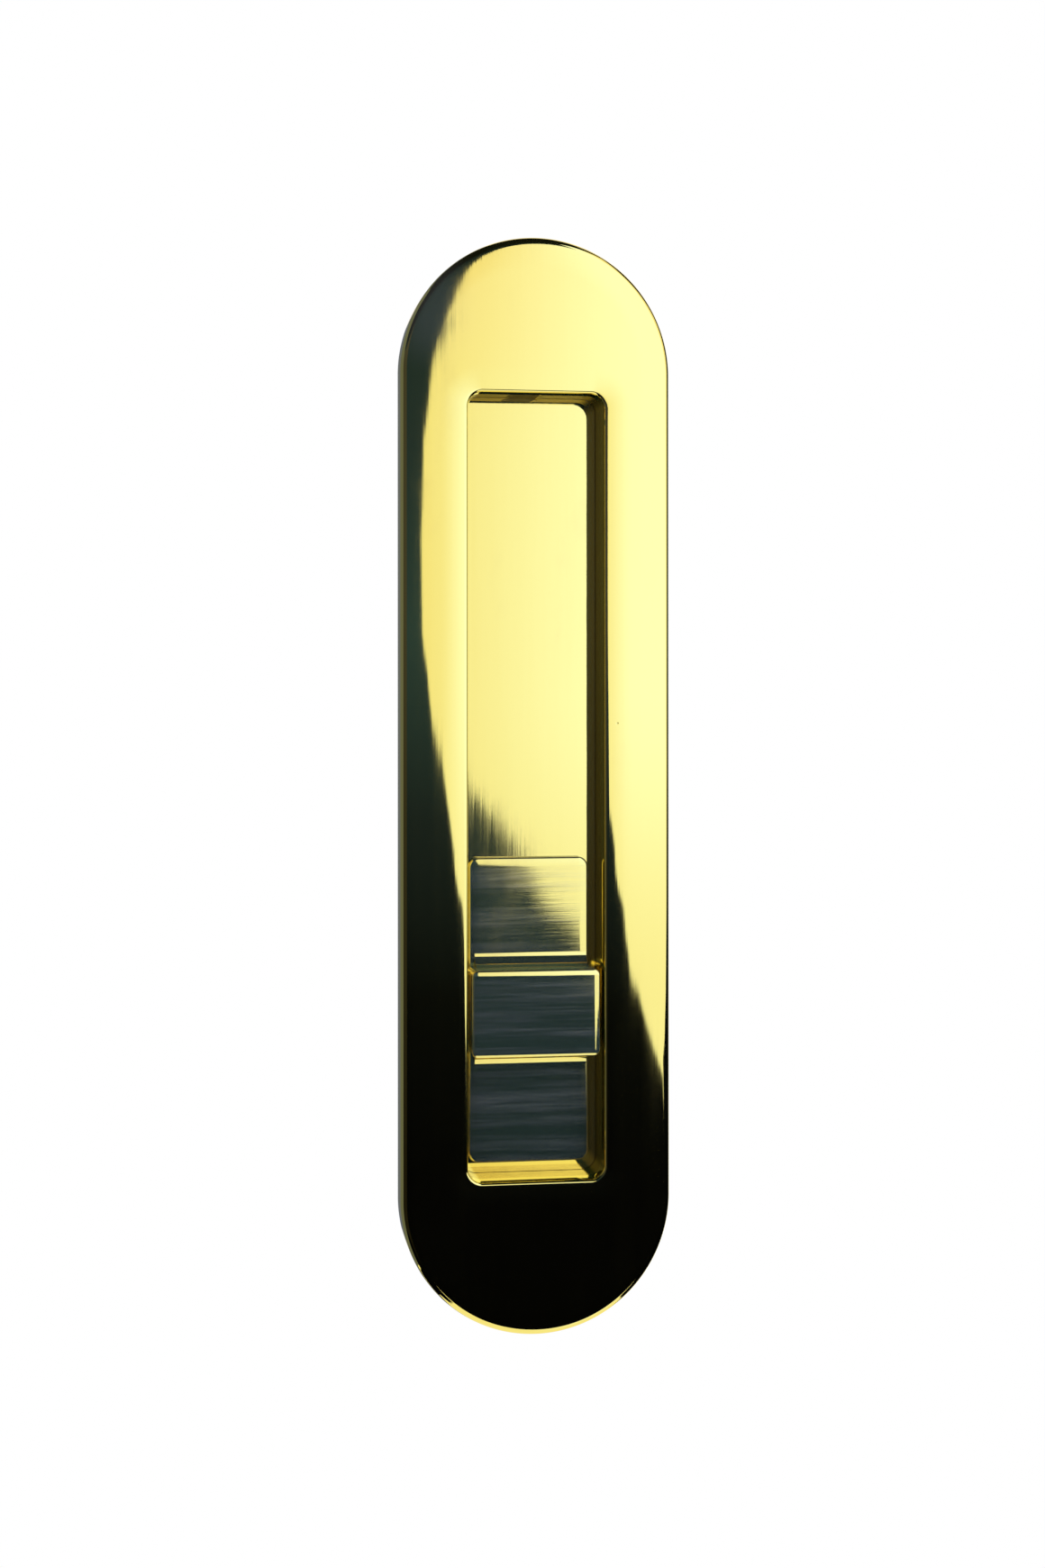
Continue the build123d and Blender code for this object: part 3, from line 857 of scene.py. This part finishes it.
# Guide rails and cover. Two drawn brass bars soldered to the back of the floor, and a sheet brass
# cover over them with a slot for the pin. Its edges are broken with a file.
rail_brass = unpolished("drawn rail brass", (0.70, 0.51, 0.19), 0.36, (900.0, 900.0, 50.0))
cover_brass = unpolished("sheet cover brass", (0.74, 0.55, 0.21), 0.32, (700.0, 700.0, 60.0))
guide_middle = -36.35 * mm
rail_sizes = {
    "Centre": guide_middle,
    "Length": 52.0 * mm,
    "Width": 5.0 * mm,
    "Corner": 0.25 * mm,
    "Spread": 10.1 * mm,
    "Front": 4.85 * mm,
    "Back": 10.85 * mm,
}
rail_tree, size, sink = piece_group("pair of rails", rail_sizes, "Rails")
rail_line = rounded(size["Centre"], size["Width"], size["Length"], size["Corner"], 32)
rail = block(rail_tree, rail_line, -size["Front"], -size["Back"])
rails = [shifted(rail_tree, rail, size["Spread"] * side) for side in (-1.0, 1.0)]
deliver(rail_tree, sink, together(rail_tree, rails), size["Finish"])
grow("rails", rail_tree, rail_sizes, rail_brass, "body", "rail_brass", "guide_rail_left", "guide_rail_right")

cover_sizes = {
    "Centre": guide_middle,
    "Length": 52.0 * mm,
    "Width": 25.2 * mm,
    "Corner": 2.0 * mm,
    "Front": 10.85 * mm,
    "Back": 12.35 * mm,
    "Slot Length": 18.6 * mm,
    "Slot Width": 6.6 * mm,
    "Edge Width": 0.35 * mm,
    "Edge Drop": 0.05 * mm,
    "Edge Radius": 0.25 * mm,
}
cover_tree, size, sink = piece_group("slotted cover", cover_sizes, "Cover")
cover_line = rounded(size["Centre"], size["Width"], size["Length"], size["Corner"], 64)
slot_width = size["Slot Width"]
slot_line = rounded(size["Centre"], slot_width, size["Slot Length"], slot_width * 0.5, 64)
cover_edge = (size["Edge Width"], size["Edge Drop"], size["Edge Radius"])
sheet = block(cover_tree, cover_line, size["Back"], size["Front"], cover_edge)
slot = block(cover_tree, slot_line, size["Back"] + past, size["Front"] - past)
mirror = {"Geometry": cut(cover_tree, sheet, slot), "Scale": (1.0, 1.0, -1.0)}
turned_back = add(cover_tree, "GeometryNodeTransform", mirror)
deliver(cover_tree, sink, turned_back, size["Finish"])
grow("cover", cover_tree, cover_sizes, cover_brass, "body", "cover_brass", "guide_cover")

# Screws. Two countersunk screws hold the carrier to the stem, and four cheese head screws hold the
# cover to the rails. Turned steel, zinc plated, with sawn driver slots and cut threads.


def thread_group():
    """Ridge of a screw thread, wound about an axis into the door from a depth."""
    inputs = {"Radius": 1 * mm, "Ridge": 0.1 * mm, "Pitch": 0.5 * mm, "Start": 0.0, "Length": 4 * mm}
    outputs = {"Thread": "Geometry"}
    tree, given, sink = new_group("wound thread", "GeometryNodeTree", inputs, outputs)
    winding = {
        "Resolution": 28,
        "Rotations": given["Length"] / given["Pitch"],
        "Start Radius": given["Radius"],
        "End Radius": given["Radius"],
        "Height": given["Length"],
    }
    spiral = add(tree, "GeometryNodeCurveSpiral", winding)
    spiral = add(tree, "GeometryNodeSetCurveNormal", {"Curve": spiral}, mode="Z_UP")
    three_sided = {"Resolution": 3, "Radius": given["Ridge"]}
    ridge = add(tree, "GeometryNodeCurvePrimitiveCircle", three_sided)
    closed = {"Curve": spiral, "Profile Curve": ridge, "Fill Caps": True}
    wound = add(tree, "GeometryNodeCurveToMesh", closed)
    plug(tree, sink.inputs[0], shifted(tree, wound, z=-given["Start"] - given["Length"]))
    return tree


wound_thread = thread_group()
carrier_screw_sizes = {
    "Count": 2,
    "Centre": slide_middle,
    "Spread X": 0.0,
    "Spread Z": 15.0 * mm,
    "Head Radius": 2.75 * mm,
    "Head Back": 7.7 * mm,
    "Head Bevel": 0.06 * mm,
    "Head Front": 7.6 * mm,
    "Cone Front": 6.45 * mm,
    "Shank Radius": 1.5 * mm,
    "Shank End": 3.2 * mm,
    "Thread Depth": 0.25 * mm,
    "Pitch": 0.5 * mm,
    "Slot Width": 0.7 * mm,
    "Slot Depth": 0.7 * mm,
    "Seed": 3,
}
cover_screw_sizes = {
    "Count": 4,
    "Centre": guide_middle,
    "Spread X": 20.2 * mm,
    "Spread Z": 42.0 * mm,
    "Head Radius": 2.3 * mm,
    "Head Back": 13.85 * mm,
    "Head Bevel": 0.3 * mm,
    "Head Front": 12.35 * mm,
    "Cone Front": 12.35 * mm,
    "Shank Radius": 1.25 * mm,
    "Shank End": 6.35 * mm,
    "Thread Depth": 0.2 * mm,
    "Pitch": 0.45 * mm,
    "Slot Width": 0.7 * mm,
    "Slot Depth": 0.7 * mm,
    "Seed": 8,
}
screw_inputs = {**carrier_screw_sizes, "Count": "Int", "Seed": "Int"}
screw_tree, size, sink = piece_group("slotted screws", screw_inputs, "Screws")
core = size["Shank Radius"] - size["Thread Depth"]
screw_marks = [
    (0.0, size["Shank End"]),
    (core, size["Shank End"]),
    (core, size["Cone Front"]),
    (size["Head Radius"], size["Head Front"]),
    (size["Head Radius"], size["Head Back"] - size["Head Bevel"]),
    (size["Head Radius"] - size["Head Bevel"], size["Head Back"]),
    (0.0, size["Head Back"]),
]
screw_body = turned(screw_tree, screw_marks, 0.0, 0.0, 48)
slot_reach = 2.2
driver_slot = square_block(
    screw_tree,
    (size["Head Radius"] * slot_reach, size["Slot Width"], size["Slot Depth"] * 2.0),
    (0.0, 0.0, -size["Head Back"]),
)
screw_thread = {
    "Radius": core,
    "Ridge": size["Thread Depth"],
    "Pitch": size["Pitch"],
    "Start": size["Shank End"] + size["Thread Depth"],
    "Length": size["Cone Front"] - size["Shank End"] - size["Pitch"],
}
thread = use(screw_tree, wound_thread, screw_thread)
one_screw = together(screw_tree, [cut(screw_tree, screw_body, driver_slot), thread])
index = Number(screw_tree, add(screw_tree, "GeometryNodeInputIndex").outputs[0])
screw_place = vector(
    screw_tree,
    ((index * 0.5).math("FLOOR") - 0.5) * size["Spread X"],
    (index.math("MODULO", 2.0) - 0.5) * size["Spread Z"] + size["Centre"],
)
places = add(screw_tree, "GeometryNodePoints", {"Count": size["Count"], "Position": screw_place})
widest_turn = 1.5
driven_to = {2: -widest_turn, 3: widest_turn, "Seed": size["Seed"]}
angle = add(screw_tree, "FunctionNodeRandomValue", driven_to, data_type="FLOAT")
driven = {"Points": places, "Instance": one_screw, "Rotation": vector(screw_tree, z=angle.outputs[1])}
set_screws = add(screw_tree, "GeometryNodeInstanceOnPoints", driven)
deliver(screw_tree, sink, set_screws, size["Finish"])
screw_steel = turned_finish("zinc plated steel", (0.60, 0.60, 0.56), 0.3)
carrier_nodes = ["carrier_screw_upper", "carrier_screw_lower"]
grow("carrier_screws", screw_tree, carrier_screw_sizes, screw_steel, "slide", "screw_steel", *carrier_nodes)
cover_nodes = [f"cover_screw_{number}" for number in (1, 2, 3, 4)]
grow("cover_screws", screw_tree, cover_screw_sizes, screw_steel, "body", "screw_steel", *cover_nodes)

# Fixing posts. Turned brass pillars soldered into the plate's back, tapped for the screws that
# clamp the pull through the door.
post_sizes = {
    "Spread": 176.5 * mm,
    "Radius": 4.0 * mm,
    "Seat": 1.5 * mm,
    "Length": 12.0 * mm,
    "Chamfer": 0.5 * mm,
    "Bore Radius": 2.0 * mm,
    "Bore Depth": 9.5 * mm,
    "Thread Depth": 0.35 * mm,
    "Pitch": 0.7 * mm,
}
post_tree, size, sink = piece_group("tapped posts", post_sizes, "Posts")
bore_end = size["Length"] - size["Bore Depth"]
post_marks = [
    (0.0, -size["Seat"]),
    (size["Radius"], -size["Seat"]),
    (size["Radius"], size["Length"] - size["Chamfer"]),
    (size["Radius"] - size["Chamfer"], size["Length"]),
    (size["Bore Radius"] + size["Chamfer"] * 0.5, size["Length"]),
    (size["Bore Radius"], size["Length"] - size["Chamfer"] * 0.5),
    (size["Bore Radius"], bore_end),
    (0.0, bore_end - size["Bore Radius"] * 0.5),
]
bore_thread = {
    "Radius": size["Bore Radius"],
    "Ridge": size["Thread Depth"],
    "Pitch": size["Pitch"],
    "Start": bore_end,
    "Length": size["Bore Depth"] - size["Pitch"],
}
pillars = []
for end in (0.5, -0.5):
    z = size["Spread"] * end
    pillars.append(turned(post_tree, post_marks, 0.0, z, 64))
    pillars.append(shifted(post_tree, use(post_tree, wound_thread, bore_thread), 0.0, z))
deliver(post_tree, sink, together(post_tree, pillars), size["Finish"])
post_brass = turned_finish("turned post brass", (0.74, 0.55, 0.20), 0.28)
post_nodes = ["fixing_post_top", "fixing_post_bottom"]
grow("posts", post_tree, post_sizes, post_brass, "body", "post_brass", *post_nodes)

# Studio. The pull hangs in white light over a pale floor. Dark screens round the viewer give the
# polished brass its dark reflections. They show in nothing else.
floor_side, floor_near, floor_far, floor_level = 1.2, -0.4, 1.2, -0.35
floor_corners = [
    (-floor_side, floor_near, floor_level),
    (floor_side, floor_near, floor_level),
    (floor_side, floor_far, floor_level),
    (-floor_side, floor_far, floor_level),
]
floor_mesh = bpy.data.meshes.new("floor")
floor_mesh.from_pydata(floor_corners, [], [(0, 1, 2, 3)])
floor = bpy.data.objects.new("floor", floor_mesh)
bpy.context.scene.collection.objects.link(floor)
floor_paint, tree, shader, place = new_material("floor_paint", (0.9, 0.9, 0.9), 0.8, 0.0)
paper = add(tree, "ShaderNodeEmission", {"Color": (1.0, 1.0, 1.0, 1.0)})
rays = add(tree, "ShaderNodeLightPath")
mixed = add(tree, "ShaderNodeMixShader")
for socket, value in zip(mixed.inputs, (rays.outputs["Is Camera Ray"], shader, paper)):
    plug(tree, socket, value)
plug(tree, tree.nodes["Material Output"].inputs["Surface"], mixed)
floor_mesh.materials.append(floor_paint)
# The brass mirrors the screens below it, and not the floor.
floor.visible_glossy = False

screen_distance = 40.0
cloth_reach = turn(27)


def screen_material(name, shades):
    """Plain glowing cloth, its colour set by height. Each shade is an elevation and a colour."""
    material, tree, shader, place = new_material(name, (0.0, 0.0, 0.0), 1.0, 0.0)
    tree.nodes.remove(shader)
    glow = add(tree, "ShaderNodeEmission")
    plug(tree, tree.nodes["Material Output"].inputs["Surface"], glow)
    height = axis_value(tree, place, "Z")
    share = height * (0.5 / (screen_distance * math.sin(cloth_reach))) + 0.5
    shade = add(tree, "ShaderNodeValToRGB", {"Fac": share})
    marks = shade.color_ramp.elements
    while len(marks) < len(shades):
        marks.new(0.5)
    for mark, (angle, colour) in zip(marks, shades):
        mark.position = 0.5 + 0.5 * math.sin(turn(angle)) / math.sin(cloth_reach)
        mark.color = (*colour, 1.0)
    plug(tree, glow.inputs["Color"], shade)
    return material


dark_cloth = screen_material(
    "dark cloth",
    [
        (-26.5, (0.0008, 0.001, 0.002)),
        (-17.8, (0.0008, 0.001, 0.003)),
        (-11.5, (0.0025, 0.0035, 0.008)),
        (-4.8, (0.011, 0.02, 0.052)),
        (1.9, (0.025, 0.056, 0.145)),
        (8.7, (0.018, 0.037, 0.1)),
        (16.9, (0.014, 0.03, 0.07)),
        (26.7, (0.006, 0.008, 0.010)),
    ],
)
brown_cloth = screen_material(
    "brown cloth", [(-17.8, (0.012, 0.011, 0.012)), (-5, (0.035, 0.034, 0.04)), (3, (0.055, 0.056, 0.08))]
)
grey = (0.14, 0.165, 0.25)
grey_cloth = screen_material("grey cloth", [(-26.5, grey), (26.7, grey)])


def screen(name, cloth, rows):
    """Curved screen. Each row is an elevation with the screen's left and right azimuth there."""
    points, faces, columns = [], [], 24
    for elevation, left, right in rows:
        level = screen_distance * math.cos(turn(elevation))
        for k in range(columns + 1):
            azimuth = turn(left + (right - left) * k / columns)
            points.append((
                level * math.sin(azimuth),
                -level * math.cos(azimuth),
                screen_distance * math.sin(turn(elevation)),
            ))
    for r in range(len(rows) - 1):
        for k in range(columns):
            a = r * (columns + 1) + k
            faces.append((a, a + 1, a + columns + 2, a + columns + 1))
    mesh = bpy.data.meshes.new(name)
    mesh.from_pydata(points, [], faces)
    mesh.materials.append(cloth)
    made = bpy.data.objects.new(name, mesh)
    bpy.context.scene.collection.objects.link(made)
    made.visible_camera = made.visible_diffuse = made.visible_shadow = False


# Right edge of the screen in front: elevation and azimuth, in degrees.
dark_edge = [
    (20.9, 14.2), (18.9, 10.9), (17.9, 10.3), (17.1, 10.2), (16.0, 10.3), (14.8, 10.6), (13.0, 11.2),
    (11.25, 10.2), (8.9, 8.6), (5.3, 8.0), (1.9, 8.3), (-1.1, 10.1), (-3.0, 11.2), (-3.9, 11.9),
    (-5.0, 12.9), (-6.1, 13.8), (-6.9, 14.1), (-7.6, 14.8), (-8.1, 16.0), (-9.2, 16.6), (-10.3, 17.4),
    (-11.7, 18.7), (-12.8, 20.8), (-14.4, 24.3), (-18.9, 34.2), (-30.8, 42.6),
]
screen("front_screen", dark_cloth, [(elevation, -0.8, right) for elevation, right in dark_edge])
side_rows = (20.9, 10, 0, -10, -18.9, -30.8)
screen("near_left_screen", dark_cloth, [(elevation, -8, -0.8) for elevation in side_rows])
screen("left_screen", brown_cloth, [(elevation, -70, -8) for elevation in side_rows])
screen("far_left_screen", grey_cloth, [(elevation, -180, -70) for elevation in (57, 40, *side_rows, -50)])
upper_rows = [
    (20.9, -70, 14.5), (24, -70, 20), (30, -70, 21), (35, -70, 22), (42, -70, 30), (49, -70, 45),
    (54, -180, 100), (60, -180, 180), (90, -180, 180),
]
screen("upper_screen", dark_cloth, upper_rows)
right_edge = [(54, 90), (43, 65), (30, 88), (20, 82), (8, 76), (-3, 72)]
screen("right_screen", dark_cloth, [(elevation, left, 130) for elevation, left in right_edge])
low_left = [
    (-30.8, -70, -0.8), (-37, -70, -1), (-46, -70, -10), (-50, -70, -14), (-52, -165, -16),
    (-60, -150, -32), (-66, -119, -41),
]
screen("low_left_screen", dark_cloth, low_left)
low_right = [
    (-3, 72, 130), (-8, 64, 130), (-11, 48, 130), (-12, 34, 130), (-13.3, 24, 130), (-18.9, 30, 130),
    (-25, 34, 130), (-35, 34, 130), (-46, 56, 129), (-51, 86, 125),
]
screen("low_right_screen", dark_cloth, low_right)

world = bpy.data.worlds.new("studio")
bpy.context.scene.world = world
world.use_nodes = True
tree = world.node_tree
direction = add(tree, "ShaderNodeTexCoord").outputs["Generated"]
to_right, to_back, to_up = [axis_value(tree, direction, axis) for axis in "XYZ"]
white, warm_white, window_light = (1.0, 1.0, 1.0), (1.0, 0.945, 0.88), (1.15, 1.35, 2.3)
beside = ramp(tree, to_right, math.sin(turn(9.0)), math.sin(turn(19.0)))
beside = beside * ramp(tree, to_back, -0.4, -0.7) * ramp(tree, to_up, -0.2, 0.0, 0.3, 1.0)
seen = Number(tree, add(tree, "ShaderNodeLightPath").outputs["Is Camera Ray"])
warm = ramp(tree, to_up, math.sin(turn(8)), math.sin(turn(15)))
studio_light = blend(tree, beside, blend(tree, warm, white, warm_white), window_light)
plug(tree, tree.nodes["Background"].inputs["Color"], blend(tree, seen, studio_light, white))

camera = bpy.data.objects.new("camera", bpy.data.cameras.new("camera"))
bpy.context.scene.collection.objects.link(camera)
camera.data.lens = 35.75
camera.data.shift_x = 0.14
camera.data.shift_y = -0.068
camera.location = (-0.0726, -0.2857, 0.0192)
camera.rotation_euler = (turn(90.16), 0.0, turn(-5.9))
bpy.context.scene.camera = camera
bpy.context.scene.view_settings.view_transform = "Standard"
